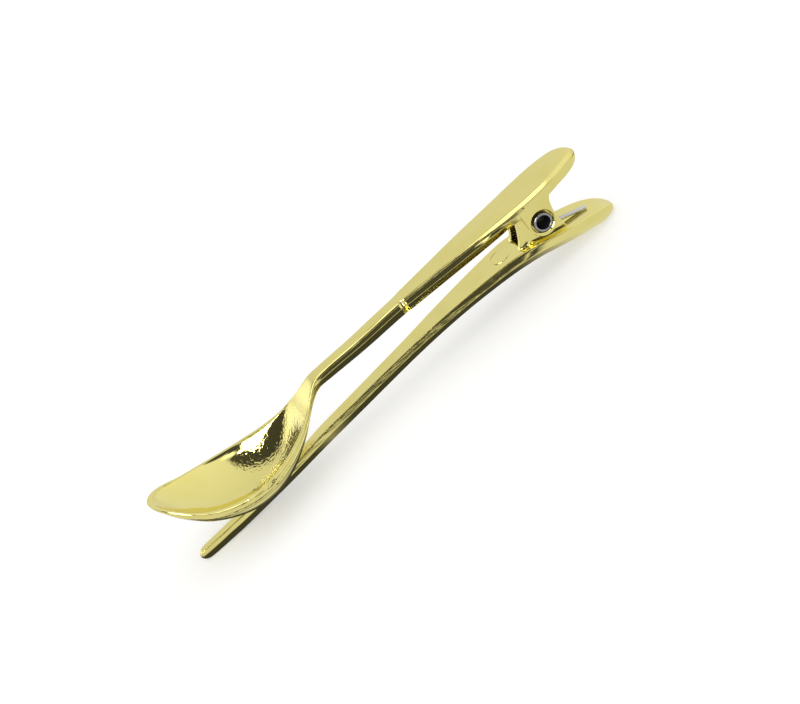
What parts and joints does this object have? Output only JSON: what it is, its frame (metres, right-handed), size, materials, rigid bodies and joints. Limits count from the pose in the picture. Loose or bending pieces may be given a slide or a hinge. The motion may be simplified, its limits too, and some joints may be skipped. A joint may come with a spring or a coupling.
{
  "type": "alligator hair clip",
  "caption": "Sprung metal hair clip: a spoon-shaped upper arm and a slim tapered lower arm that turn on a hollow pin with a torsion spring.",
  "frame": {"origin": "centre of the pivot pin, on its axis and halfway along it", "axes": "+X from the bowl towards the two handles, +Y along the pivot pin, +Z from the lower arm up to the spoon arm; the closed clip lies on its lower arm"},
  "size_m": [0.0601, 0.0122, 0.01],
  "materials": {
    "gold_plate": "polished pale gold plating on cast zinc alloy",
    "pin_steel": "bright plated steel",
    "spring_steel": "drawn spring wire"
  },
  "bodies": {
    "lower": {"lower_arm": "gold_plate", "pivot_pin": "pin_steel", "torsion_spring": "spring_steel"},
    "spoon": {"spoon_arm": "gold_plate"}
  },
  "joints": [
    {"name": "jaw_pivot", "type": "hinge", "parent": "lower", "child": "spoon", "pos_m": [0, 0, 0], "axis": [0, 1, 0], "range_deg": [0, 36], "stiffness_Nm_per_rad": 0.02, "springref_deg": -68.75, "deforming": ["torsion_spring"]}
  ]
}
